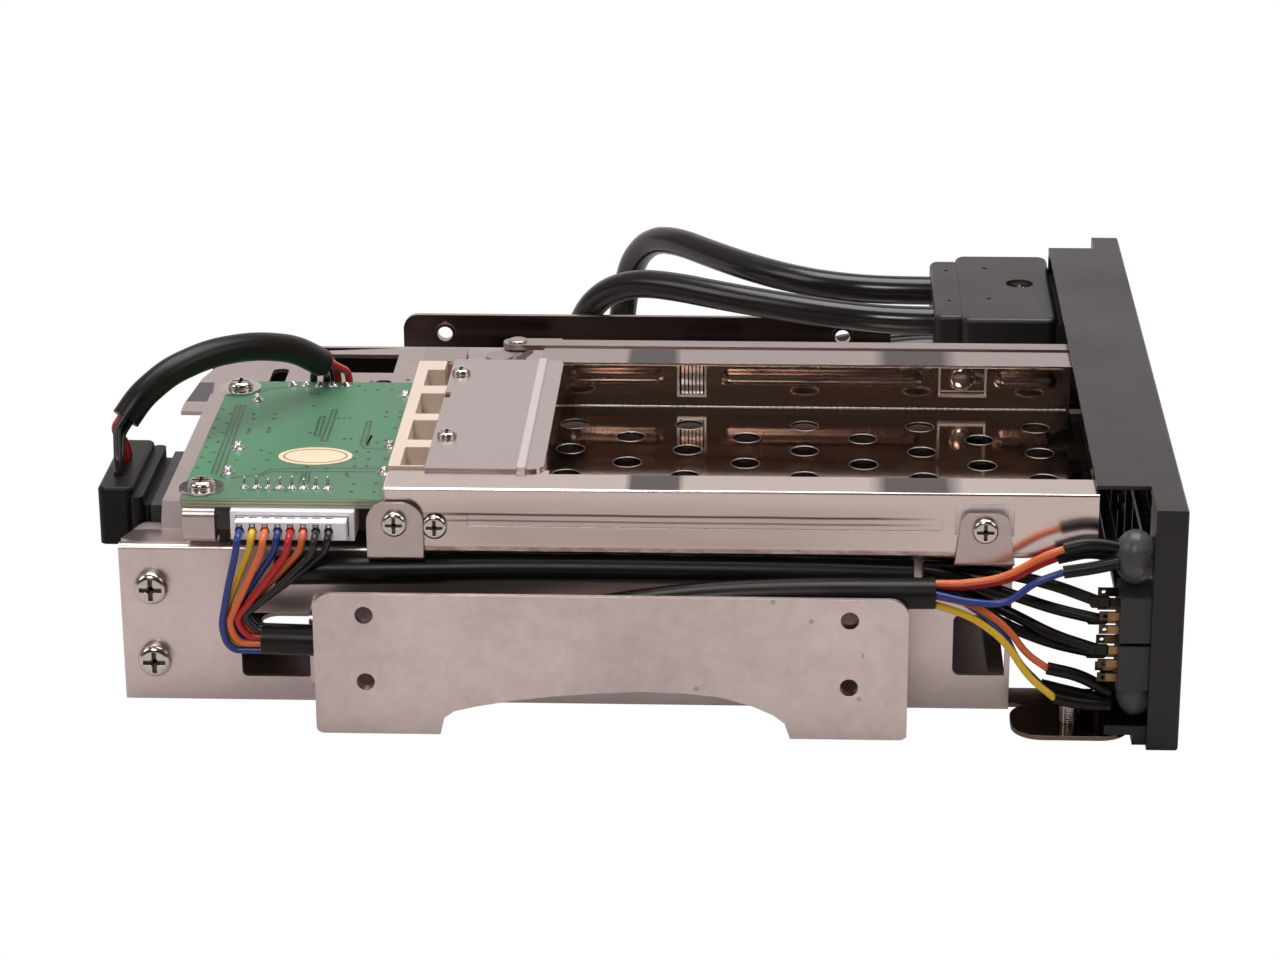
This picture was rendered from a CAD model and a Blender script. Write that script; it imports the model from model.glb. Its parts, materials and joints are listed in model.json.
import bpy, bmesh, math, json, random
from mathutils import Vector, Matrix


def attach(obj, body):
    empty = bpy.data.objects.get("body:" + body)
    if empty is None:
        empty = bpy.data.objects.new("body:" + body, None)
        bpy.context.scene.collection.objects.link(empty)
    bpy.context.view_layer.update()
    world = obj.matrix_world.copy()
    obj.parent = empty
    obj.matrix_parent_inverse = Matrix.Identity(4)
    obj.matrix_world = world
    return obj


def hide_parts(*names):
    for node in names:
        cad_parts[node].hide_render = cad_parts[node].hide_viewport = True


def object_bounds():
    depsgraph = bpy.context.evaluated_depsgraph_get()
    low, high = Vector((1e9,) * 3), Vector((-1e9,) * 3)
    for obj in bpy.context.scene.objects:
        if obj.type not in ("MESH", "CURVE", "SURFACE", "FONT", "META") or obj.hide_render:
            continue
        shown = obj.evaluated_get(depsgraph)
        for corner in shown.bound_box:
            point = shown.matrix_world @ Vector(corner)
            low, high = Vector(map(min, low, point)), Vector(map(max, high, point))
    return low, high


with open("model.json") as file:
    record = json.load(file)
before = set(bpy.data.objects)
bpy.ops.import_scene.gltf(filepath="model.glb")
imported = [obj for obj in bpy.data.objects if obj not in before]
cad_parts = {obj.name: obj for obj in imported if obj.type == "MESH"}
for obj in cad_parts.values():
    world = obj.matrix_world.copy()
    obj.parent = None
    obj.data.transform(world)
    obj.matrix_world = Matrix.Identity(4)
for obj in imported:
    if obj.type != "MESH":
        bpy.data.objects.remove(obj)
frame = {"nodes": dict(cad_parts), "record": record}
CAD_LO, CAD_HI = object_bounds()
CAD_LO, CAD_HI = list(CAD_LO), list(CAD_HI)
NODES = frame["nodes"]
OX = 90.3
COL = bpy.context.scene.collection


def mm(x, y, z):
    """bezel-front millimetres to scene metres"""
    return Vector(((x + OX) / 1000.0, y / 1000.0, z / 1000.0))


# ------------------------------------------------------------ node helpers
class Mat:
    def __init__(self, name):
        self.m = bpy.data.materials.new(name)
        self.m.use_nodes = True
        self.t = self.m.node_tree
        self.b = self.t.nodes["Principled BSDF"]
        self.co = self.t.nodes.new("ShaderNodeTexCoord").outputs["Object"]

    def n(self, kind, **kw):
        nd = self.t.nodes.new(kind)
        for k, v in kw.items():
            setattr(nd, k, v)
        return nd

    def link(self, a, b):
        self.t.links.new(a, b)

    def mapping(self, scale=(1, 1, 1), rot=(0, 0, 0), loc=(0, 0, 0), src=None):
        mp = self.n("ShaderNodeMapping")
        mp.inputs["Scale"].default_value = scale
        mp.inputs["Rotation"].default_value = rot
        mp.inputs["Location"].default_value = loc
        self.link(src or self.co, mp.inputs["Vector"])
        return mp.outputs["Vector"]

    def noise(self, scale, detail=3.0, rough=0.5, vec=None, dist=0.0):
        nz = self.n("ShaderNodeTexNoise")
        nz.inputs["Scale"].default_value = scale
        nz.inputs["Detail"].default_value = detail
        nz.inputs["Roughness"].default_value = rough
        nz.inputs["Distortion"].default_value = dist
        self.link(vec or self.co, nz.inputs["Vector"])
        return nz.outputs["Fac"]

    def voronoi(self, scale, vec=None, feature="F1", out="Distance"):
        v = self.n("ShaderNodeTexVoronoi", feature=feature)
        v.inputs["Scale"].default_value = scale
        self.link(vec or self.co, v.inputs["Vector"])
        return v.outputs[out]

    def ramp(self, fac, *stops):
        r = self.n("ShaderNodeValToRGB")
        el = r.color_ramp.elements
        while len(el) < len(stops):
            el.new(0.5)
        for e, (p, c) in zip(el, stops):
            e.position = p
            e.color = c if len(c) == 4 else (*c, 1)
        self.link(fac, r.inputs["Fac"])
        return r.outputs["Color"]

    def rng(self, fac, a0, a1, b0, b1, clamp=True):
        r = self.n("ShaderNodeMapRange", clamp=clamp)
        for i, v in zip(("From Min", "From Max", "To Min", "To Max"), (a0, a1, b0, b1)):
            r.inputs[i].default_value = v
        self.link(fac, r.inputs["Value"])
        return r.outputs["Result"]

    def math(self, op, a, b=None, c=None):
        m = self.n("ShaderNodeMath", operation=op)
        for i, v in enumerate((a, b, c)):
            if v is None:
                continue
            if isinstance(v, (int, float)):
                m.inputs[i].default_value = v
            else:
                self.link(v, m.inputs[i])
        return m.outputs[0]

    def mix(self, fac, a, b, mode="MIX"):
        m = self.n("ShaderNodeMix", data_type="RGBA", blend_type=mode)
        for sock, v in ((m.inputs[0], fac), (m.inputs[6], a), (m.inputs[7], b)):
            if isinstance(v, (int, float)):
                sock.default_value = v
            elif isinstance(v, tuple):
                sock.default_value = v if len(v) == 4 else (*v, 1)
            else:
                self.link(v, sock)
        return m.outputs[2]

    def xyz(self):
        s = self.n("ShaderNodeSeparateXYZ")
        self.link(self.co, s.inputs[0])
        return s.outputs

    def set(self, **kw):
        names = {"color": "Base Color", "rough": "Roughness", "metal": "Metallic", "coat": "Coat Weight",
                 "coat_rough": "Coat Roughness", "ior": "IOR", "spec": "Specular IOR Level", "trans": "Transmission Weight",
                 "aniso": "Anisotropic", "alpha": "Alpha", "sss": "Subsurface Weight", "sheen": "Sheen Weight"}
        for k, v in kw.items():
            s = self.b.inputs[names[k]]
            if hasattr(v, "links") or hasattr(v, "node"):
                self.link(v, s)
            elif isinstance(v, tuple):
                s.default_value = v if len(v) == 4 else (*v, 1)
            else:
                s.default_value = v
        return self

    def bump(self, height, strength=0.2, dist=0.0001, bevel=0.0):
        b = self.n("ShaderNodeBump")
        b.inputs["Strength"].default_value = strength
        b.inputs["Distance"].default_value = dist
        self.link(height, b.inputs["Height"])
        if bevel:
            v = self.n("ShaderNodeBevel", samples=3)
            v.inputs["Radius"].default_value = bevel
            self.link(v.outputs["Normal"], b.inputs["Normal"])
        self.link(b.outputs["Normal"], self.b.inputs["Normal"])
        return self


MATS = {}


def steel(name, base, dark, rough, mottle=0.5, grain=0.0, bevel=0.00012, bump=0.08, spots=0.0):
    """plated or galvanised sheet: cloudy colour, fine flecks, light rubbing marks"""
    a = Mat(name)
    cloud = a.noise(45, 5, 0.62)
    fine = a.noise(900, 3, 0.6)
    fleck = a.noise(330, 4, 0.7, dist=0.6)
    k = a.math("ADD", a.math("MULTIPLY", cloud, 0.6), a.math("MULTIPLY", fleck, 0.4))
    f = a.rng(k, 0.36, 0.64, 0.0, 1.0)
    col = a.mix(a.math("MULTIPLY", f, mottle), base, dark)
    st = a.noise(1.0, 4, 0.6, vec=a.mapping(scale=(60, 2600, 2600)))
    r = a.math("ADD", a.rng(k, 0.3, 0.7, rough * 0.82, rough * 1.22), a.rng(fine, 0.3, 0.7, -0.02, 0.03))
    if grain:
        r = a.math("ADD", r, a.rng(st, 0.3, 0.7, -grain, grain))
    if spots:
        v = a.voronoi(210, feature="F1")
        w = a.noise(30, 2)
        sp = a.math("MULTIPLY", a.math("LESS_THAN", v, 0.09), a.math("GREATER_THAN", w, 0.56))
        col = a.mix(a.math("MULTIPLY", sp, spots), col, (0.30, 0.26, 0.24))
        r = a.math("ADD", r, a.math("MULTIPLY", sp, 0.15))
    a.set(color=col, rough=r, metal=1.0)
    a.bump(a.math("ADD", a.math("MULTIPLY", fine, 0.5), a.math("MULTIPLY", st, 0.5)), bump, 0.00006, bevel)
    MATS[name] = a.m
    return a


def plastic(name, base, alt, rough=0.35, grain=600, bump=0.15, bevel=0.0002, coat=0.0, spec=0.5, var=0.5):
    a = Mat(name)
    c = a.noise(60, 3)
    g = a.noise(grain * 2.5, 3, 0.6)
    col = a.mix(a.rng(c, 0.35, 0.65, 0, var), base, alt)
    a.set(color=col, rough=a.math("ADD", a.rng(c, 0.3, 0.7, rough * 0.85, rough * 1.15), a.rng(g, 0.3, 0.7, -0.03, 0.03)),
          coat=coat, spec=spec)
    a.bump(g, bump, 0.00005, bevel)
    MATS[name] = a.m
    return a


steel("satin_steel", (0.52, 0.445, 0.435), (0.42, 0.355, 0.345), 0.34, mottle=0.8, spots=0.3)
steel("rail_steel", (0.82, 0.71, 0.695), (0.64, 0.55, 0.535), 0.38, mottle=0.9, spots=0.45)
steel("bright_plate", (0.66, 0.575, 0.53), (0.56, 0.48, 0.435), 0.12, mottle=0.6, grain=0.03, bump=0.04)
steel("outer_plate", (0.62, 0.53, 0.485), (0.56, 0.475, 0.43), 0.17, mottle=0.4, grain=0.0, bump=0.03)
steel("cover_plate", (0.63, 0.545, 0.54), (0.60, 0.515, 0.51), 0.27, mottle=0.3, grain=0.0, bump=0.03)
steel("dark_mirror", (0.34, 0.275, 0.24), (0.26, 0.205, 0.175), 0.07, mottle=0.5, bump=0.03)
steel("screw_plate", (0.70, 0.66, 0.62), (0.55, 0.50, 0.46), 0.16, mottle=0.7, bump=0.05, bevel=0.0001)
steel("solder", (0.66, 0.66, 0.65), (0.5, 0.5, 0.5), 0.24, bump=0.2, bevel=0.00015)
steel("contact_gold", (0.82, 0.60, 0.25), (0.7, 0.48, 0.18), 0.22, bevel=0.00005)
steel("switch_brass", (0.52, 0.31, 0.12), (0.16, 0.10, 0.06), 0.34, mottle=0.9, bevel=0.00008)
plastic("black_plastic", (0.0035, 0.003, 0.003), (0.005, 0.0045, 0.0045), 0.30, grain=900, bump=0.25)
plastic("ivory_plastic", (0.66, 0.55, 0.46), (0.60, 0.49, 0.41), 0.42, bevel=0.00015)
plastic("white_plastic", (0.92, 0.91, 0.94), (0.88, 0.87, 0.90), 0.38, bevel=0.00012)
plastic("cream_label", (0.80, 0.74, 0.60), (0.76, 0.70, 0.56), 0.55)
plastic("grey_plastic", (0.030, 0.029, 0.030), (0.022, 0.021, 0.022), 0.42)
plastic("usb_grey", (0.010, 0.0095, 0.0095), (0.014, 0.013, 0.013), 0.36, bump=0.3)
plastic("lamp_lens", (0.7, 0.74, 0.74), (0.6, 0.65, 0.66), 0.12)
plastic("board_green", (0.10, 0.235, 0.135), (0.085, 0.205, 0.12), 0.30)
plastic("sleeve_black", (0.006, 0.005, 0.0045), (0.009, 0.008, 0.007), 0.33, grain=70, bump=0.35, bevel=0, spec=0.3)
plastic("plug_black", (0.005, 0.0045, 0.0045), (0.008, 0.007, 0.007), 0.36, grain=700, bump=0.2, spec=0.22)
plastic("cable_black", (0.011, 0.0105, 0.0105), (0.015, 0.014, 0.014), 0.2, bump=0.12, bevel=0)
for nm, c in (("black", (0.015, 0.015, 0.016)), ("blue", (0.022, 0.045, 0.24)), ("orange", (0.78, 0.17, 0.055)),
              ("red", (0.50, 0.015, 0.02)), ("yellow", (0.78, 0.50, 0.03))):
    plastic("wire_" + nm, c, tuple(x * 0.8 for x in c), 0.24, bump=0.1, bevel=0)
g = plastic("clear_glue", (0.30, 0.295, 0.31), (0.06, 0.06, 0.07), 0.30, grain=260, bump=1.0, bevel=0)
g.set(trans=0.72, ior=1.40, spec=0.4)

slot_of = {}
for sp in frame["record"]["subparts"]:
    slot_of[sp["node"]] = sp["material_slot"]
OVER = {"side_rail_near": "rail_steel", "side_rail_far": "rail_steel", "cage_25_near_wall": "outer_plate",
        "connector_cover": "cover_plate", "usb_housing": "usb_grey", "usb_lead_outer": "cable_black",
        "usb_lead_inner": "cable_black", "power_plug": "plug_black", "usb_header_plug": "plug_black", "harness_header": "white_plastic", "harness_plug": "white_plastic"}


def paint(obj, mat):
    obj.data.materials.clear()
    obj.data.materials.append(MATS[mat] if isinstance(mat, str) else mat)


for nme, ob in NODES.items():
    paint(ob, OVER.get(nme, slot_of.get(nme, "satin_steel")))

# ------------------------------------------------------------ camera
p, y, r = math.radians(20.8516), math.radians(-2.5858), math.radians(-0.3261)
fw = Vector((math.sin(y) * math.cos(p), math.cos(y) * math.cos(p), -math.sin(p)))
rt = Vector((math.cos(y), -math.sin(y), 0))
up = rt.cross(fw)
r2 = rt * math.cos(r) + up * math.sin(r)
u2 = -rt * math.sin(r) + up * math.cos(r)
cam = bpy.data.objects.new("camera", bpy.data.cameras.new("camera"))
COL.objects.link(cam)
cam.data.sensor_width = 36.0
cam.data.lens = 103.504
cam.data.clip_start, cam.data.clip_end = 0.01, 50
cam.matrix_world = Matrix(((r2.x, u2.x, -fw.x, 0.027353), (r2.y, u2.y, -fw.y, -0.623637),
                           (r2.z, u2.z, -fw.z, 0.255921), (0, 0, 0, 1)))
bpy.context.scene.camera = cam

# ------------------------------------------------------------ studio
sc = bpy.context.scene
sc.view_settings.view_transform = "Standard"
w = bpy.data.worlds.new("studio")
sc.world = w
w.use_nodes = True
wt = w.node_tree
bgn = wt.nodes["Background"]
gen = wt.nodes.new("ShaderNodeTexCoord").outputs["Generated"]
sep = wt.nodes.new("ShaderNodeSeparateXYZ")
wt.links.new(gen, sep.inputs[0])
rp = wt.nodes.new("ShaderNodeMapRange")
for i, v in zip(("From Min", "From Max", "To Min", "To Max"), (-0.75, 0.35, 0.0, 1.0)):
    rp.inputs[i].default_value = v
wt.links.new(sep.outputs[1], rp.inputs["Value"])
cr = wt.nodes.new("ShaderNodeValToRGB")
cr.color_ramp.elements[0].color = (0.035, 0.028, 0.024, 1)
cr.color_ramp.elements[1].color = (0.30, 0.265, 0.25, 1)
wt.links.new(rp.outputs[0], cr.inputs[0])
lp = wt.nodes.new("ShaderNodeLightPath")
mx = wt.nodes.new("ShaderNodeMix")
mx.data_type = "RGBA"
wt.links.new(lp.outputs["Is Camera Ray"], mx.inputs[0])
wt.links.new(cr.outputs[0], mx.inputs[6])
mx.inputs[7].default_value = (1, 1, 1, 1)
wt.links.new(mx.outputs[2], bgn.inputs[0])
bgn.inputs[1].default_value = 1.0


def stage_mesh(name, verts, faces, mat):
    me = bpy.data.meshes.new(name)
    me.from_pydata(verts, [], faces)
    o = bpy.data.objects.new(name, me)
    COL.objects.link(o)
    paint(o, mat)
    for f in me.polygons:
        f.use_smooth = True
    return o


fm = Mat("floor_paint")
fn = fm.noise(4, 2)
fy = fm.xyz()[1]
fm.set(color=fm.mix(fm.rng(fn, 0.3, 0.7, 0, 1), (0.34, 0.32, 0.31), (0.36, 0.34, 0.33)), rough=0.9, spec=0.0)
glow = fm.ramp(fm.rng(fy, -1.2, 1.2, 0, 1), (0.30, (0.02, 0.018, 0.016)), (0.44, (0.19, 0.172, 0.165)),
               (0.62, (0.29, 0.27, 0.265)), (0.95, (0.62, 0.585, 0.58)))
fm.link(glow, fm.b.inputs["Emission Color"])
fm.b.inputs["Emission Strength"].default_value = 1.0
flp = fm.n("ShaderNodeLightPath")
fwh = fm.n("ShaderNodeEmission")
fwh.inputs[0].default_value = (1, 1, 1, 1)
fwh.inputs[1].default_value = 1.0
fmx = fm.n("ShaderNodeMixShader")
fm.link(flp.outputs["Is Camera Ray"], fmx.inputs[0])
fm.link(fm.b.outputs[0], fmx.inputs[1])
fm.link(fwh.outputs[0], fmx.inputs[2])
fm.link(fmx.outputs[0], [q for q in fm.t.nodes if q.type == "OUTPUT_MATERIAL"][0].inputs["Surface"])
prof = [(-3.0, 0.0), (3.0, 0.0)] + [(3.0 + 1.5 * math.sin(math.radians(a)), 1.5 - 1.5 * math.cos(math.radians(a)))
                                    for a in range(6, 91, 6)] + [(4.5, 3.0)]
vs, fs = [], []
for i, (yy, zz) in enumerate(prof):
    vs += [(-6, yy, zz), (6, yy, zz)]
    if i:
        fs.append((2 * i - 2, 2 * i - 1, 2 * i + 1, 2 * i))
stage_mesh("backdrop", vs, fs, fm.m)


def area(name, loc, look, size, power, color=(1, 1, 1)):
    li = bpy.data.lights.new(name, "AREA")
    li.shape = "RECTANGLE"
    li.size, li.size_y = size
    li.energy = power
    li.color = color
    o = bpy.data.objects.new(name, li)
    COL.objects.link(o)
    o.location = loc
    o.rotation_euler = (Vector(look) - Vector(loc)).to_track_quat("-Z", "Y").to_euler()
    return o


area("key_top", (0.1, 0.25, 1.5), (0, 0, 0), (1.6, 1.0), 26)
area("front_soft", (-0.35, -1.5, 1.25), (0, 0, 0), (0.5, 0.5), 8, (1, 0.98, 0.98))
area("fill_left", (-1.5, -0.5, 1.1), (0, 0, 0), (0.8, 0.8), 5, (1, 0.95, 0.93))
area("fill_right", (1.5, -0.6, 1.0), (0, 0, 0), (0.7, 0.7), 4, (1, 0.95, 0.93))

# ------------------------------------------------------------ mesh helpers
def add_mesh(name, verts, faces, mat, body="chassis", smooth=True, at=None):
    me = bpy.data.meshes.new(name)
    me.from_pydata([tuple(mm(*v)) for v in verts], [], faces)
    me.validate()
    o = bpy.data.objects.new(name, me)
    COL.objects.link(o)
    paint(o, mat)
    if smooth:
        for f in me.polygons:
            f.use_smooth = True
    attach(o, body)
    return o


def strips(lines, wid, z, th=0.03):
    """flat raised tracks along polylines, mitred"""
    V_, F_ = [], []
    for ln in lines:
        pts = [Vector((a, b)) for a, b in ln]
        k0 = len(V_)
        for i, q in enumerate(pts):
            d0 = (pts[i] - pts[i - 1]).normalized() if i else None
            d1 = (pts[i + 1] - pts[i]).normalized() if i < len(pts) - 1 else None
            d = ((d0 or d1) + (d1 or d0)).normalized()
            n = Vector((-d.y, d.x))
            c = max(0.5, n.dot(Vector((-(d1 or d0).y, (d1 or d0).x))))
            n *= wid / 2 / c
            for s in (1, -1):
                V_ += [(q.x + s * n.x, q.y + s * n.y, z + th), (q.x + s * n.x * 1.25, q.y + s * n.y * 1.25, z - 0.02)]
        for i in range(len(pts) - 1):
            a, b = k0 + 4 * i, k0 + 4 * i + 4
            F_ += [(a, b, b + 2, a + 2), (a + 1, b + 1, b, a), (a + 2, b + 2, b + 3, a + 3), (a + 1, a + 3, b + 3, b + 1)]
        e = k0 + 4 * (len(pts) - 1)
        F_ += [(k0, k0 + 2, k0 + 3, k0 + 1), (e, e + 1, e + 3, e + 2)]
    return V_, F_


def lathe(prof, cx, cy, z0, n=20, wob=0.0, seed=0):
    """turned body about Z from (r, z) pairs, closed at both ends"""
    rnd = random.Random(seed)
    ph = [rnd.uniform(0, 6.28) for _ in range(3)]
    V_, F_ = [], []
    for j, (r_, z_) in enumerate(prof):
        for i in range(n):
            a = 2 * math.pi * i / n
            k = 1 + wob * (0.6 * math.sin(2 * a + ph[0]) + 0.4 * math.sin(3 * a + ph[1]))
            V_.append((cx + r_ * k * math.cos(a), cy + r_ * k * math.sin(a), z0 + z_))
    for j in range(len(prof) - 1):
        for i in range(n):
            a, b = j * n + i, j * n + (i + 1) % n
            F_.append((a, b, b + n, a + n))
    F_.append(tuple(reversed(range(n))))
    F_.append(tuple(range((len(prof) - 1) * n, len(prof) * n)))
    return V_, F_


def join(parts):
    V_, F_ = [], []
    for v, f in parts:
        k = len(V_)
        V_ += v
        F_ += [tuple(i + k for i in q) for q in f]
    return V_, F_


# ------------------------------------------------------------ upper board
PT = 37.5
VIAS = [(-163.7, -18.02), (-161.93, -20.29), (-163.81, -22.74), (-161.95, -25.06), (-163.83, -27.56), (-161.95, -29.68), (-163.89, -32.31), (-162.03, -34.49), (-163.71, -37.16), (-161.96, -39.71), (-163.68, -42.18), (-161.98, -44.38), (-163.65, -47.05), (-157.9, -20.26), (-157.62, -22.65), (-154.21, -20.07), (-154.03, -22.46), (-157.58, -27.97), (-157.54, -28.89), (-157.59, -29.97), (-154.15, -27.28), (-154.09, -28.37), (-154.14, -29.46), (-154.04, -38.43), (-152.39, -39.68), (-152.38, -43.06), (-157.55, -43.21), (-154.02, -47.56), (-154.53, -50.88), (-153.05, -51.46), (-147.91, -15.67), (-147.94, -9.27), (-142.66, -21.97), (-141.73, -21.94), (-140.72, -21.91), (-146.79, -29.5), (-140.49, -32.39), (-139.35, -32.35), (-134.65, -18.57), (-132.32, -18.51), (-134.61, -21.05), (-132.19, -20.9), (-132.4, -26.58), (-133.34, -32.84), (-134.64, -34.03), (-137.68, -38.61), (-137.7, -42.07), (-135.23, -42.0), (-132.42, -41.92), (-135.62, -38.55), (-137.21, -45.65), (-135.13, -45.59), (-132.45, -45.51), (-141.76, -46.97), (-145.21, -46.12), (-139.77, -7.18), (-137.5, -7.03), (-135.03, -6.78), (-132.68, -1.52), (-139.15, -2.61), (-141.13, -4.9), (-136.39, -53.86), (-132.68, -53.59), (-136.38, -57.55), (-132.61, -57.44), (-138.16, -49.23), (-137.88, -50.16), (-146.62, -49.48)]
TRACES = [[(-161.5, -15.62), (-160.83, -49.89)], [(-160.77, -15.6), (-160.01, -50.65)], [(-160.03, -15.57), (-159.06, -51.41)], [(-145.23, -21.19), (-146.05, -21.64), (-145.84, -30.88), (-145.01, -31.11), (-145.23, -21.19)], [(-143.46, -17.7), (-144.19, -17.72), (-144.38, -33.41), (-143.4, -33.62), (-143.5, -17.88)], [(-136.82, -23.5), (-137.54, -23.52), (-137.38, -35.01), (-136.45, -36.95), (-130.86, -37.44)], [(-136.82, -23.5), (-136.6, -34.33)], [(-136.02, -30.6), (-136.13, -35.55)], [(-136.41, -35.56), (-136.02, -30.6)], [(-159.06, -51.41), (-156.92, -51.73), (-152.69, -50.05), (-151.35, -47.64), (-146.12, -46.86), (-132.29, -46.46)], [(-152.56, -50.98), (-150.93, -48.66), (-132.11, -48.11)], [(-145.58, -48.9), (-145.51, -53.74)], [(-144.97, -48.88), (-144.79, -53.71)], [(-144.41, -48.86), (-144.02, -53.69)], [(-154.08, -6.16), (-156.97, -6.87), (-157.93, -8.49)], [(-154.86, -56.33), (-153.59, -57.44), (-148.93, -57.15), (-147.21, -57.64), (-146.96, -55.32)]]
tr = Mat("board_trace")
tn = tr.noise(300, 2)
tr.set(color=tr.mix(tr.rng(tn, 0.3, 0.7, 0, 1), (0.035, 0.085, 0.052), (0.055, 0.11, 0.07)), rough=0.4)
MATS["board_trace"] = tr.m
vm = Mat("via_hole")
vm.set(color=vm.mix(vm.rng(vm.noise(500, 2), 0.3, 0.7, 0, 1), (0.02, 0.03, 0.022), (0.035, 0.05, 0.035)), rough=0.6)
MATS["via_hole"] = vm.m
v, f = strips([t for t in TRACES], 0.44, PT)
add_mesh("board_tracks", v, f, "board_trace", smooth=False)
v, f = join([lathe([(0.42, -0.03), (0.38, 0.025), (0.2, 0.02), (0.17, -0.01)], x, y, PT, n=14) for x, y in VIAS])
add_mesh("via_rims", v, f, "board_trace")
v, f = join([lathe([(0.21, -0.02), (0.21, 0.022), (0.1, 0.026)], x, y, PT, n=12) for x, y in VIAS])
add_mesh("via_holes", v, f, "via_hole")

# board: solder mask on the faces, pale layered laminate on the edge

def board_mask(name, axis):
    """solder mask on the faces square to axis, layered laminate on the rest"""
    bg = Mat(name)
    gn = bg.n("ShaderNodeNewGeometry")
    sx = bg.n("ShaderNodeSeparateXYZ")
    bg.link(gn.outputs["Normal"], sx.inputs[0])
    edge = bg.math("LESS_THAN", bg.math("ABSOLUTE", sx.outputs[axis]), 0.5)
    z = bg.xyz()[axis]
    lay = bg.math("SINE", bg.math("MULTIPLY", z, 11000.0))
    fib = bg.noise(1.0, 3, 0.6, vec=bg.mapping(scale=(500, 500, 3000)))
    ecol = bg.mix(bg.rng(bg.math("ADD", lay, bg.math("MULTIPLY", fib, 2.0)), 0.2, 1.8, 0, 1), (0.21, 0.25, 0.16), (0.42, 0.44, 0.33))
    fcol = bg.mix(bg.rng(bg.noise(38, 3), 0.35, 0.65, 0, 1), (0.070, 0.225, 0.115), (0.088, 0.19, 0.118))
    fine = bg.noise(1400, 2)
    bg.set(color=bg.mix(edge, fcol, ecol), rough=bg.math("ADD", bg.math("MULTIPLY", edge, 0.25), bg.rng(fine, 0.3, 0.7, 0.38, 0.46)), spec=0.32)
    bg.bump(fine, 0.12, 0.00005, 0.00008)
    MATS[name] = bg.m


board_mask("board_mask", 2)
board_mask("board_mask_up", 0)
paint(NODES["upper_board"], "board_mask")
paint(NODES["lower_board"], "board_mask_up")

# solder: tall blobs, pin cones, row of pads
sol = []
rnd = random.Random(7)
for i, (x, y) in enumerate(((-158.3, -13.1), (-158.1, -37.6), (-158.1, -49.3), (-132.2, -10.6), (-132.1, -36.4), (-131.9, -48.8))):
    sol.append(lathe([(1.28, 0.0), (1.24, 0.08), (1.02, 0.22), (0.72, 0.55), (0.6, 0.75), (0.42, 0.92), (0.12, 1.0)],
                     x, y, PT, n=22, wob=0.16, seed=i))
    for k in range(3):
        a = rnd.uniform(0, 6.28)
        sol.append(lathe([(0.34, 0.1), (0.34, 0.5), (0.3, 0.9), (0.2, 1.15), (0.05, 1.22)], x + 0.35 * math.cos(a),
                         y + 0.35 * math.sin(a), PT, n=12, wob=0.1, seed=20 + k))
for i in range(8):
    x, y = -154.3 + 1.985 * i, -56.2
    sol.append(lathe([(0.86, 0.0), (0.8, 0.1), (0.56, 0.36), (0.36, 0.78), (0.28, 1.1), (0.26, 1.25)], x, y, PT, n=18, wob=0.12, seed=40 + i))
    sol.append(lathe([(0.26, 0.9), (0.25, 1.75 + 0.25 * math.sin(i * 2.1)), (0.12, 1.95 + 0.25 * math.sin(i * 2.1))], x, y, PT, n=8, seed=i))
for i in range(5):
    x, y = -153.0 + 2.4 * i, -5.1
    sol.append(lathe([(0.95, 0.0), (0.92, 0.08), (0.72, 0.3), (0.42, 0.55), (0.28, 0.72), (0.1, 0.82)], x, y, PT, n=18, wob=0.18, seed=60 + i))
v, f = join(sol)
o = add_mesh("solder_pool", v, f, "solder")
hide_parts("solder_joints")

# inspection sticker: bare oval with a thin ring
st = Mat("sticker_paper")
sn = st.noise(700, 3, 0.6)
st.set(color=st.mix(st.rng(st.noise(50, 2), 0.3, 0.7, 0, 1), (0.72, 0.60, 0.42), (0.78, 0.67, 0.49)), rough=0.5)
st.bump(sn, 0.15, 0.00004)
MATS["sticker_paper"] = st.m
paint(NODES["inspection_sticker"], "sticker_paper")
rg = Mat("sticker_ring")
rg.set(color=rg.mix(rg.rng(rg.noise(900, 3), 0.4, 0.6, 0, 1), (0.17, 0.055, 0.045), (0.24, 0.10, 0.08)), rough=0.5)
MATS["sticker_ring"] = rg.m
ring = [(-144.4 + 5.35 * math.cos(a), -41.2 + 3.25 * math.sin(a)) for a in [2 * math.pi * i / 72 for i in range(73)]]
v, f = strips([ring], 0.24, PT + 0.12, 0.012)
add_mesh("sticker_band", v, f, "sticker_ring", smooth=False)

# ------------------------------------------------------------ sheet metal, by region
def smooth_mask(a, v, lo, hi, w=0.0004):
    """1 between lo and hi of the socket v, soft over w"""
    return a.math("MULTIPLY", a.rng(v, lo - w, lo, 0, 1), a.rng(v, hi, hi + w, 1, 0))


def normal(a):
    sx_ = a.n("ShaderNodeSeparateXYZ")
    a.link(a.n("ShaderNodeNewGeometry").outputs["Normal"], sx_.inputs[0])
    return sx_.outputs


def X_(v):
    return (v + OX) / 1000.0


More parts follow.
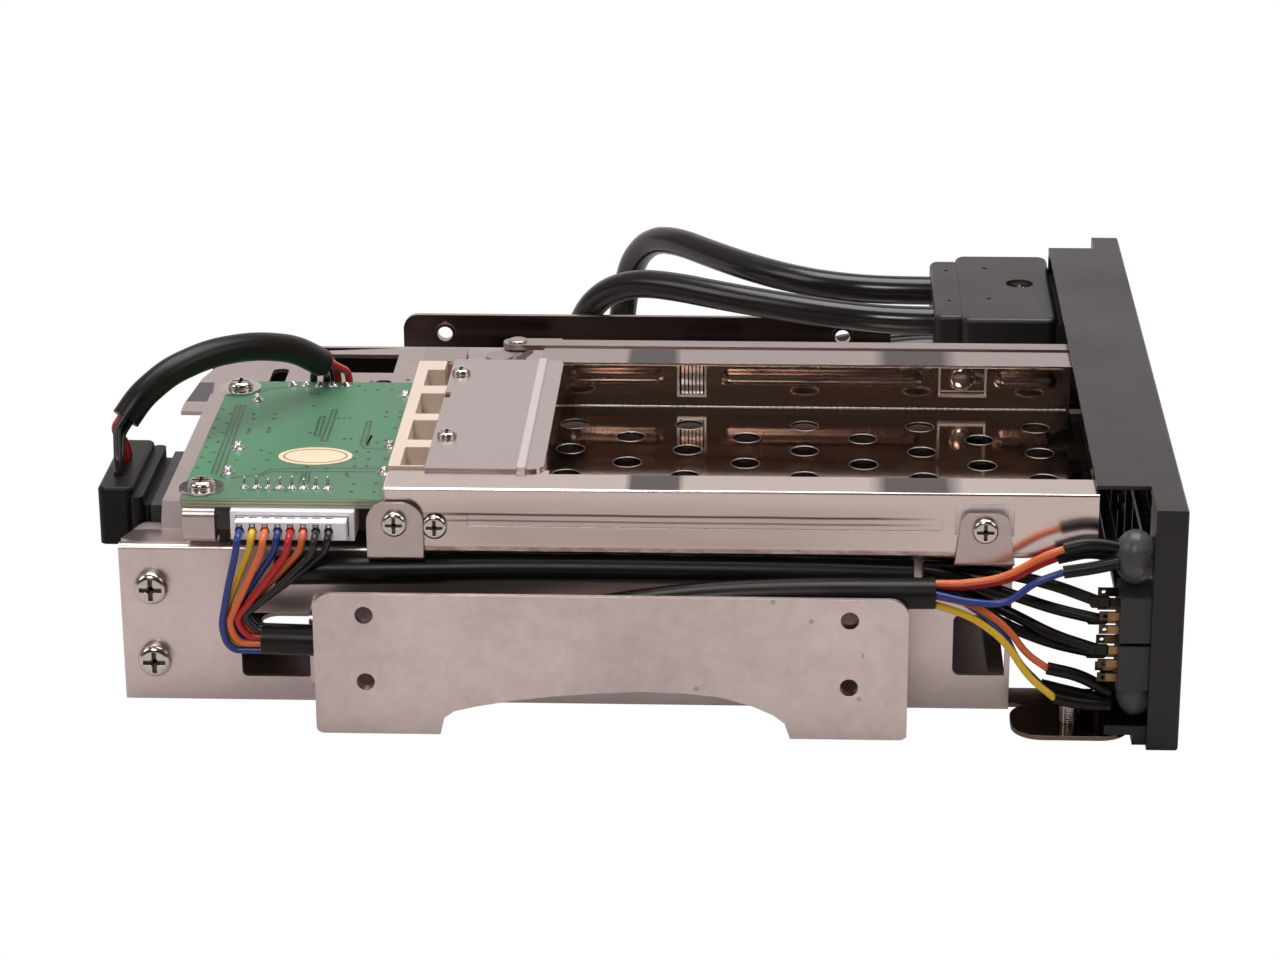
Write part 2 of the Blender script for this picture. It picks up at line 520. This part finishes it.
def steel2(name, base, dark, rough, regions, mottle=0.5, bevel=0.00012, bump=0.03, streak=None):
    """steel with named regions: each is a function of the material giving (mask, colour, roughness)"""
    a = Mat(name)
    k = a.math("ADD", a.math("MULTIPLY", a.noise(45, 5, 0.62), 0.6), a.math("MULTIPLY", a.noise(330, 4, 0.7, dist=0.6), 0.4))
    col = a.mix(a.math("MULTIPLY", a.rng(k, 0.36, 0.64, 0, 1), mottle), base, dark)
    if streak:
        q = a.noise(1.0, 4, 0.55, vec=a.mapping(scale=(9, 130, 170)), dist=0.6)
        col = a.mix(1.0, col, a.ramp(q, (0.30, streak[0]), (0.47, streak[1]), (0.60, streak[2]), (0.74, streak[3])), "MULTIPLY")
    r = a.rng(k, 0.3, 0.7, rough * 0.85, rough * 1.2)
    for fn_ in regions:
        m_, c_, r_ = fn_(a)
        col = a.mix(m_, col, c_)
        if r_ is not None:
            r = a.math("ADD", a.math("MULTIPLY", r, a.math("SUBTRACT", 1.0, m_)), a.math("MULTIPLY", m_, r_))
    a.set(color=col, rough=r, metal=1.0)
    a.bump(a.noise(900, 3, 0.6), bump, 0.00006, bevel)
    MATS[name] = a.m
    return a


WARM = ((0.70, 0.62, 0.56), (1.0, 0.95, 0.90), (0.92, 0.72, 0.64), (1.5, 1.42, 1.34))


def patches(a):
    """two dark smears across the flange tops"""
    c = a.xyz()
    d_ = a.math("MULTIPLY", a.math("SUBTRACT", a.noise(1.0, 2, vec=a.mapping(scale=(420, 30, 30))), 0.5), 0.002)
    x_ = a.math("ADD", c[0], d_)
    near = a.math("LESS_THAN", c[1], -0.03)
    x1 = a.math("SUBTRACT", x_, a.math("MULTIPLY", near, 0.0028))
    x2 = a.math("ADD", x_, a.math("MULTIPLY", near, 0.0014))
    m_ = a.math("ADD", smooth_mask(a, x1, X_(-92.4), X_(-85.0), 0.0012), smooth_mask(a, x2, X_(-46.6), X_(-37.0), 0.0028))
    m_ = a.math("MULTIPLY", m_, a.math("GREATER_THAN", c[2], 0.04095))
    return a.math("MULTIPLY", m_, 0.94), (0.06, 0.05, 0.053), None


def wall_lines(a):
    c = a.xyz()
    out = a.math("LESS_THAN", normal(a)[1], -0.5)
    wv = a.math("MULTIPLY", a.math("SUBTRACT", a.noise(1.0, 3, vec=a.mapping(scale=(45, 10, 10))), 0.5), 0.0004)
    z_ = a.math("ADD", c[2], wv)
    fx = smooth_mask(a, c[0], X_(-117.5), X_(-50.0), 0.010)
    l1 = smooth_mask(a, z_, 0.03635, 0.03658, 0.00022)
    l2 = a.math("MULTIPLY", smooth_mask(a, z_, 0.03528, 0.03538, 0.00020), 0.8)
    m_ = a.math("MULTIPLY", a.math("MULTIPLY", a.math("MAXIMUM", l1, l2), fx), out)
    return a.math("MULTIPLY", m_, 0.85), (0.05, 0.032, 0.028), None


def wall_shade(a):
    """dim middle, paler ends and edges, brown hem at the foot"""
    c = a.xyz()
    q = a.noise(1.0, 3, 0.5, vec=a.mapping(scale=(14, 10, 160)))
    m_ = a.math("MULTIPLY", smooth_mask(a, c[2], 0.0315, 0.0375, 0.0022), smooth_mask(a, c[0], X_(-112), X_(-62), 0.030))
    m_ = a.math("MULTIPLY", m_, a.rng(q, 0.3, 0.7, 0.25, 0.75))
    return a.math("MULTIPLY", m_, 0.6), (0.30, 0.235, 0.205), None


def wall_hem(a):
    c = a.xyz()
    q = a.noise(1.0, 4, 0.65, vec=a.mapping(scale=(260, 40, 700)))
    return a.math("MULTIPLY", smooth_mask(a, c[2], 0.0296, 0.0307, 0.0003), a.rng(q, 0.35, 0.6, 0.35, 0.9)), (0.27, 0.195, 0.16), None


def seat_pale(a):
    c = a.xyz()
    m_ = a.math("MULTIPLY", smooth_mask(a, c[0], X_(-36.8), X_(-27.3), 0.0001), smooth_mask(a, c[2], 0.0336, 0.0392, 0.0001))
    m_ = a.math("MULTIPLY", m_, a.math("LESS_THAN", normal(a)[1], -0.5))
    return m_, (0.95, 0.88, 0.88), 0.5


def inside(sign, lo, col_, rgh, limit=-9.0):
    def fn_(a):
        c = normal(a)
        m_ = a.math("GREATER_THAN", c[1], 0.5) if sign > 0 else a.math("LESS_THAN", c[1], -0.5)
        return a.math("MULTIPLY", m_, lo), col_, rgh
    return fn_


def swath(a):
    """pale wavy reflection along the near edge of the floor"""
    c = a.xyz()
    wv = a.math("MULTIPLY", a.math("SUBTRACT", a.noise(1.0, 2, vec=a.mapping(scale=(38, 1, 1))), 0.5), 0.009)
    y_ = a.math("ADD", c[1], wv)
    return a.math("MULTIPLY", smooth_mask(a, y_, -0.070, -0.0538, 0.0010), 0.85), (0.98, 0.90, 0.88), 0.25


steel2("wall25_near", (0.78, 0.675, 0.635), (0.70, 0.60, 0.565), 0.17, [wall_shade, wall_lines, wall_hem, seat_pale, patches], mottle=0.4)
steel2("wall25_far", (0.82, 0.75, 0.71), (0.72, 0.65, 0.61), 0.09, [
    lambda a: (a.math("GREATER_THAN", a.xyz()[2], 0.04085), (0.50, 0.43, 0.42), 0.24), patches], mottle=0.4, streak=WARM)
steel2("floor25", (0.78, 0.71, 0.67), (0.68, 0.61, 0.57), 0.08, [swath], mottle=0.4, streak=WARM)
steel2("rail_far", (0.52, 0.445, 0.43), (0.41, 0.35, 0.335), 0.36, [inside(-1, 0.93, (0.075, 0.058, 0.05), 0.10)], mottle=0.8)
steel2("wall35_near", (0.80, 0.69, 0.68), (0.66, 0.57, 0.56), 0.34, [inside(1, 0.9, (0.05, 0.04, 0.036), 0.3)], mottle=0.7)
steel2("wall35_far", (0.64, 0.55, 0.535), (0.52, 0.445, 0.43), 0.34, [inside(-1, 0.93, (0.045, 0.036, 0.032), 0.3)], mottle=0.7)
steel2("floor35", (0.54, 0.46, 0.45), (0.44, 0.375, 0.365), 0.30, [
    lambda a: (smooth_mask(a, a.xyz()[0], 0.0605, 0.2), (0.22, 0.16, 0.13), 0.08)], mottle=0.7)
def fold(a):
    """dark folded corner of the top plate"""
    c = a.xyz()
    u = a.math("ADD", c[0], a.math("MULTIPLY", c[1], FOLD[2]))
    return a.math("MULTIPLY", a.math("MULTIPLY", smooth_mask(a, u, FOLD[0], FOLD[1], 0.0004), smooth_mask(a, c[1], FOLD[3], 0.0215, 0.0003)), 0.93), (0.075, 0.062, 0.07), 0.12


def under(a):
    """the part of the top plate that lies below the 2.5 in cage"""
    c = a.xyz()
    m_ = a.math("MULTIPLY", smooth_mask(a, c[0], X_(-112.0), X_(-4.0), 0.001), smooth_mask(a, c[1], -0.0628, 0.0052, 0.001))
    return a.math("MULTIPLY", m_, 0.9), (0.09, 0.07, 0.062), 0.25


FOLD = (X_(-176.5), X_(-169.6), 0.10, 0.0112)
steel2("top35", (0.60, 0.515, 0.505), (0.50, 0.425, 0.415), 0.30, [
    under, fold,
    lambda a: (smooth_mask(a, a.xyz()[1], -0.0527, -0.0497, 0.0002), (0.36, 0.305, 0.30), 0.6)], mottle=0.7)
paint(NODES["cage_35_top"], "top35")
steel2("cover_smooth", (0.63, 0.545, 0.54), (0.61, 0.525, 0.52), 0.25, [
    lambda a: (smooth_mask(a, a.xyz()[0], X_(-108.8), X_(-107.7), 0.0002), (0.86, 0.80, 0.83), 0.36)], mottle=0.3, bump=0.0, bevel=0.0)
for nm_, mt_ in (("cage_25_near_wall", "wall25_near"), ("cage_25_far_wall", "wall25_far"), ("cage_25_floor", "floor25"),
                 ("side_rail_far", "rail_far"), ("cage_35_near_wall", "wall35_near"), ("cage_35_far_wall", "wall35_far"),
                 ("cage_35_floor", "floor35"), ("connector_cover", "cover_smooth")):
    paint(NODES[nm_], mt_)
steel("rim_bright", (0.95, 0.90, 0.88), (0.84, 0.78, 0.75), 0.38, mottle=0.4, bump=0.02, bevel=0)
steel("rim_soft", (0.62, 0.55, 0.52), (0.50, 0.44, 0.41), 0.30, mottle=0.4, bump=0.02, bevel=0)
steel("recess_dark", (0.11, 0.085, 0.07), (0.06, 0.045, 0.04), 0.3, mottle=0.8, bump=0.02, bevel=0)
steel("spring_dark", (0.10, 0.08, 0.07), (0.05, 0.04, 0.035), 0.25, mottle=0.9, bump=0.02, bevel=0)


# ------------------------------------------------------------ pressings inside the 2.5 in cage
def torus(prof, cx, cy, z0, n=28, axis="Z"):
    """closed ring about an axis from a closed (r, h) outline"""
    V_, F_ = [], []
    m = len(prof)
    for i in range(n):
        a = 2 * math.pi * i / n
        for r_, h_ in prof:
            if axis == "Z":
                V_.append((cx + r_ * math.cos(a), cy + r_ * math.sin(a), z0 + h_))
            else:
                V_.append((cx + r_ * math.cos(a), z0 + h_, cy + r_ * math.sin(a)))
    for i in range(n):
        for j in range(m):
            a, b = i * m + j, i * m + (j + 1) % m
            c, d = ((i + 1) % n) * m + j, ((i + 1) % n) * m + (j + 1) % m
            F_.append((a, b, d, c))
    return V_, F_


def turn_y(vf, y0, sgn=1):
    """lay a turned body about Z down along Y"""
    v_, f_ = vf
    return [(x, y0 + sgn * z, y) for x, y, z in v_], f_


def block(x0, x1, y0, y1, z0, z1, c=0.0):
    """block with its edges chamfered by c"""
    V_, F_ = [], []
    xs, ys, zs = (x0, x1), (y0, y1), (z0, z1)
    bm = bmesh.new()
    pts = set()
    for i in (0, 1):
        for j in (0, 1):
            for k in (0, 1):
                sx_, sy_, sz_ = (1 if i == 0 else -1), (1 if j == 0 else -1), (1 if k == 0 else -1)
                p0 = (xs[i], ys[j], zs[k])
                if c:
                    pts.add((p0[0] + sx_ * c, p0[1] + sy_ * c, p0[2]))
                    pts.add((p0[0] + sx_ * c, p0[1], p0[2] + sz_ * c))
                    pts.add((p0[0], p0[1] + sy_ * c, p0[2] + sz_ * c))
                else:
                    pts.add(p0)
    for q in sorted(pts):
        bm.verts.new(q)
    bmesh.ops.convex_hull(bm, input=bm.verts)
    bmesh.ops.dissolve_limit(bm, angle_limit=0.01, verts=bm.verts, edges=bm.edges)
    bm.verts.index_update()
    V_ = [tuple(q.co) for q in bm.verts]
    F_ = [tuple(v_.index for v_ in fc.verts) for fc in bm.faces]
    bm.free()
    return V_, F_


FZ, YF = 30.2, 6.0
YC25 = (-64.7 + 6.5) / 2 - 0.2
LIP = [(2.60, -0.02), (2.57, 0.03), (2.52, 0.04), (2.48, 0.01), (2.46, -0.05), (2.46, -0.12), (2.52, -0.12), (2.52, -0.02)]
rims = []
for i in range(11):
    for o_ in ((0, 1, -1, 2, -2) if i % 2 == 0 else (0.5, -0.5, 1.5, -1.5)):
        yh = YC25 + o_ * 12.85
        rims.append(torus(LIP, -20.2 - 10.3 * i, yh, FZ))
v, f = join(rims)
add_mesh("floor_hole_lips", v, f, "rim_soft")

# rolled seam between floor and far wall
V_, F_ = [], []
rnd = random.Random(3)
NS = 320
for i in range(NS + 1):
    x = -111.0 + (111.0 - 14.2) * i / NS
    w_ = 0.42 + 0.05 * math.sin(i * 1.7) + rnd.uniform(-0.05, 0.05)
    for a_ in range(5):
        t = math.radians(90.0 * a_ / 4)
        V_.append((x, YF + 0.05 - w_ * (1 - math.sin(t)), FZ - 0.05 + w_ * (1 - math.cos(t))))
    if i:
        k = 5 * (i - 1)
        for j in range(4):
            F_.append((k + j, k + j + 5, k + j + 6, k + j + 1))
add_mesh("wall_seam", V_, F_, "rim_bright")


def bead(x0, x1, z0, z1, y, h):
    """long rib with round ends, standing h out of the wall towards -Y"""
    r_ = (z1 - z0) / 2
    zc_ = (z0 + z1) / 2
    V_, F_ = [], []
    M = 8
    loop = [(x0 + r_, 90 + 180 * q / 10) for q in range(11)] + [(x1 - r_, -90 + 180 * q / 10) for q in range(11)]
    for j in range(M + 1):
        k_ = 1 - j / M
        hh = h * 0.5 * (1 - math.cos(math.pi * min(1.0, (j / M) * 1.25)))
        for cx_, an in loop:
            V_.append((cx_ + r_ * k_ * math.cos(math.radians(an)), y + 0.04 - hh, zc_ + r_ * k_ * math.sin(math.radians(an))))
    n = len(loop)
    for j in range(M):
        for i in range(n):
            a, b = j * n + i, j * n + (i + 1) % n
            F_.append((a, b, b + n, a + n))
    return V_, F_


v, f = join([bead(-104.2, -86.6, 34.0, 37.9, YF, 0.75), bead(-76.8, -40.0, 34.0, 37.9, YF, 0.75), bead(-27.4, -15.8, 34.0, 37.9, YF, 0.75)])
steel("bead_steel", (0.34, 0.27, 0.235), (0.22, 0.17, 0.15), 0.24, mottle=0.6, bump=0.02, bevel=0)
add_mesh("wall_beads", v, f, "bead_steel")

# spring clip in the lanced window: back plate, bright frame, five fingers
v, f = join([block(-84.6, -79.1, 6.52, 6.7, 32.2, 39.0)])
add_mesh("clip_plate", v, f, "spring_dark", smooth=False)
fr = [block(-84.55, -84.1, 5.86, 6.2, 32.3, 38.9, 0.05), block(-84.5, -79.2, 5.72, 6.2, 32.15, 32.6, 0.05),
      block(-79.6, -79.25, 5.9, 6.2, 32.4, 38.9, 0.04)]
v, f = join(fr)
add_mesh("clip_frame", v, f, "rim_bright", smooth=False)
fingers = []
for i in range(6):
    xa = -83.7 + 0.68 * i
    V_, F_ = [], []
    for j in range(13):
        t = j / 12
        z_ = 38.8 - 6.1 * t
        y_ = 6.1 - 1.0 * math.sin(math.pi * t) ** 1.5
        for dx_, dy_ in ((0, 0), (0.44, 0), (0.44, 0.22), (0, 0.22)):
            V_.append((xa + dx_, y_ + dy_, z_))
        if j:
            k = 4 * (j - 1)
            for q in range(4):
                F_.append((k + q, k + (q + 1) % 4, k + 4 + (q + 1) % 4, k + 4 + q))
    F_ += [(3, 2, 1, 0), (48, 49, 50, 51)]
    fingers.append((V_, F_))
v, f = join(fingers)
add_mesh("clip_fingers", v, f, "rim_bright", smooth=False)

# seat of the far screw: bright frame, ledge and domed head
v, f = join([block(-37.3, -36.9, 5.8, 6.15, 33.0, 39.6, 0.05), block(-29.0, -28.6, 5.8, 6.15, 33.0, 39.6, 0.05),
             block(-37.3, -28.6, 5.3, 6.15, 32.7, 33.25, 0.08)])
add_mesh("seat_frame", v, f, "rim_bright", smooth=False)
v, f = turn_y(lathe([(2.35, 0.0), (2.3, 0.2), (2.0, 0.5), (1.5, 0.72), (0.9, 0.83), (0.3, 0.86)], -33.0, 36.0, 0.0, n=28), 6.1, -1)
add_mesh("seat_rivet", v, f, "screw_plate")

# threads on the two ear screws
th = []
for yq in (-66.0, 66.0):
    pr = []
    for k in range(8):
        z_ = 1.6 + 0.42 * k
        pr += [(1.5, z_), (1.72, z_ + 0.14), (1.5, z_ + 0.28)]
    pr = [(1.49, 1.5)] + pr + [(1.2, 5.05), (0.4, 5.1)]
    th.append(lathe(pr, -17.4, yq, 0.0, n=24))
v, f = join(th)
add_mesh("ear_threads", v, f, "screw_plate")

# wire plug: dark slots on top, crimps over the wires
slots, crimps = [], []
for i in range(8):
    xw = -154.0 + 2.1 * i
    slots.append(block(xw - 0.75, xw + 0.55, -63.7, -63.35, 34.9, 35.02))
    slots.append(block(xw - 0.5, xw + 0.5, -65.63, -65.5, 34.1, 34.72))
    crimps.append(block(xw - 0.32, xw + 0.32, -65.66, -65.55, 34.16, 34.6))
v, f = join(slots)
add_mesh("plug_slots", v, f, "via_hole", smooth=False)
v, f = join(crimps)
add_mesh("plug_crimps", v, f, "solder", smooth=False)
# shade in the cross recesses
SCR_B = ((-161.4, -57.0), (-162.0, -7.4))
C35_Y0, C35_Y1 = -60.0, 44.0
rec = []


def cross(x, y, z, d, hr, hh):
    """dark fill in the foot of a recess; d is the way the head faces: 'z', '-y' or 'y'"""
    w_, l_, b_ = hr * 0.27 / 2 - 0.01, hr * 1.3 / 2 - 0.02, hh * 0.4
    e_ = b_ + hh * 0.24
    if d == "z":
        rec.append(block(x - l_, x + l_, y - w_, y + w_, z + b_ - 0.02, z + e_))
        rec.append(block(x - w_, x + w_, y - l_, y + l_, z + b_ - 0.02, z + e_))
    else:
        ya, yb = (y - e_, y - b_ + 0.02) if d == "-y" else (y + b_ - 0.02, y + e_)
        rec.append(block(x - l_, x + l_, ya, yb, z - w_, z + w_))
        rec.append(block(x - w_, x + w_, ya, yb, z - l_, z + l_))


for x, y in SCR_B:
    cross(x, y, PT, "z", 2.3, 1.7)
for x, y in ((-122.3, -8.8), (-121.9, -41.2)):
    cross(x, y, 41.5, "z", 1.7, 0.9)
for x, z in ((-128.4, 35.3), (-32.0, 35.2)):
    cross(x, -66.0, z, "-y", 2.15, 1.3)
cross(-121.9, -64.7, 34.4, "-y", 2.1, 1.2)
cross(-124.8, 7.3, 34.6, "y", 2.2, 1.2)
for z in (21.2, 8.1):
    cross(-170.0, C35_Y0, z, "-y", 2.9, 2.1)
    cross(-170.0, C35_Y1, z, "y", 2.9, 2.1)
v, f = join(rec)
add_mesh("recess_shade", v, f, "recess_dark", smooth=False)

# divider sheet between the two bays, behind the bezel
v, f = block(-26.9, -11.4, -58.2, 5.8, 27.85, 28.35, 0.1)
add_mesh("bay_divider", v, f, "recess_dark", smooth=False)

# black sleeves pushed over the switch tags that carry a lead
lug = []
for zz, dy, tz in ((22.3, -2.2, 2.4), (22.3, 2.2, -2.4), (13.9, -2.2, 2.4), (13.9, 2.2, 0.0)):
    lug.append(block(-15.0, -11.7, -68.4 + dy - 0.55, -68.4 + dy + 0.55, zz + tz - 0.95, zz + tz + 0.95, 0.3))
v, f = join(lug)
add_mesh("tag_sleeves", v, f, "sleeve_black", smooth=False)
steel2("tag_metal", (0.52, 0.31, 0.12), (0.16, 0.10, 0.06), 0.34, [
    lambda a: (a.math("GREATER_THAN", a.xyz()[2], 0.0236), (0.03, 0.025, 0.022), 0.4),
    lambda a: (a.math("LESS_THAN", a.xyz()[0], X_(-12.0)), (0.10, 0.075, 0.05), 0.4)], mottle=0.9)
paint(NODES["switch_terminals"], "tag_metal")

# ------------------------------------------------------------ cords
USB_D = 5.6
FLOOR = USB_D / 2 + 0.05
YC, RA, RB, XR = 101.7, 24.8, 18.8, -34.0


def half(xc, rad, a0):
    return [(xc + rad * math.cos(math.radians(a0 + 30.0 * i)), YC + rad * math.sin(math.radians(a0 + 30.0 * i)), FLOOR)
            for i in range(7)]


LEAD_A = ([(-37.0, 64.0, 34.0), (-44.5, 64.0, 34.0), (-53.5, 65.6, 34.0), (-62.5, 69.8, 34.0), (-71.5, 77.2, 34.0), (-80.0, 86.4, 34.0), (-87.4, 96.2, 33.8), (-92.8, 104.2, 31.6), (-96.8, 110.0, 26.2),
           (-98.8, 113.0, 19.0), (-99.8, 112.4, 11.4), (-100.2, 107.6, 5.4), (-99.8, 100.2, 2.95), (-97.2, 92.8, FLOOR), (-91.2, 86.8, FLOOR), (-82.6, 83.5, FLOOR), (-70.0, 82.9, FLOOR), (-52.0, 83.1, FLOOR)]
          + half(XR, RB, -90)
          + [(-43.0, 118.6, FLOOR), (-51.4, 113.8, FLOOR), (-58.4, 107.2, 3.2), (-65.6, 101.6, 3.9), (-73.6, 98.6, 4.4)])
LEAD_B = ([(-37.0, 45.2, 34.0), (-45.0, 45.2, 34.0), (-56.5, 48.6, 34.1), (-67.5, 53.6, 34.2), (-78.0, 59.2, 34.2), (-87.2, 65.2, 34.1), (-95.4, 70.8, 33.0), (-102.2, 75.2, 29.0), (-106.2, 77.6, 22.6),
           (-107.4, 78.4, 15.2), (-104.8, 78.2, 8.4), (-99.0, 77.5, 4.2), (-90.6, 77.0, 2.9), (-77.0, 76.9, FLOOR), (-56.0, 77.1, FLOOR)]
          + half(XR, RA, -90)
          + [(-43.6, 125.4, FLOOR), (-52.8, 121.2, FLOOR), (-60.0, 114.6, 3.2), (-66.2, 109.0, 3.9), (-73.6, 105.3, 4.4)])


def cord_curve(name, pts, dia, mat, res=12):
    cu = bpy.data.curves.new(name, "CURVE")
    cu.dimensions = "3D"
    sp = cu.splines.new("NURBS")
    sp.points.add(len(pts) - 1)
    for q, pt in zip(sp.points, pts):
        v = mm(*pt)
        q.co = (v.x, v.y, v.z, 1.0)
    sp.order_u = 3
    sp.use_endpoint_u = True
    sp.resolution_u = res
    cu.bevel_depth = dia / 2000.0
    cu.bevel_resolution = 6
    cu.use_fill_caps = True
    o = bpy.data.objects.new(name, cu)
    COL.objects.link(o)
    cu.materials.append(MATS[mat])
    return o


def length_of(pts):
    """length of the smooth line through the route"""
    cu = bpy.data.curves.new("probe", "CURVE")
    cu.dimensions = "3D"
    sp = cu.splines.new("NURBS")
    sp.points.add(len(pts) - 1)
    for q, pt in zip(sp.points, pts):
        v = mm(*pt)
        q.co = (v.x, v.y, v.z, 1.0)
    sp.order_u = 3
    sp.use_endpoint_u = True
    sp.resolution_u = 24
    o = bpy.data.objects.new("probe", cu)
    COL.objects.link(o)
    me = bpy.data.meshes.new_from_object(o)
    L = sum((me.vertices[i + 1].co - me.vertices[i].co).length for i in range(len(me.vertices) - 1))
    bpy.data.objects.remove(o)
    bpy.data.curves.remove(cu)
    bpy.data.meshes.remove(me)
    return L


for nme, pts in (("usb_lead_outer", LEAD_A), ("usb_lead_inner", LEAD_B)):
    o = cord_curve("cable_" + nme[4:], pts, USB_D, "cable_black")
    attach(o, "chassis")
    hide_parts(nme)
    length_of(pts)

bpy.context.view_layer.update()
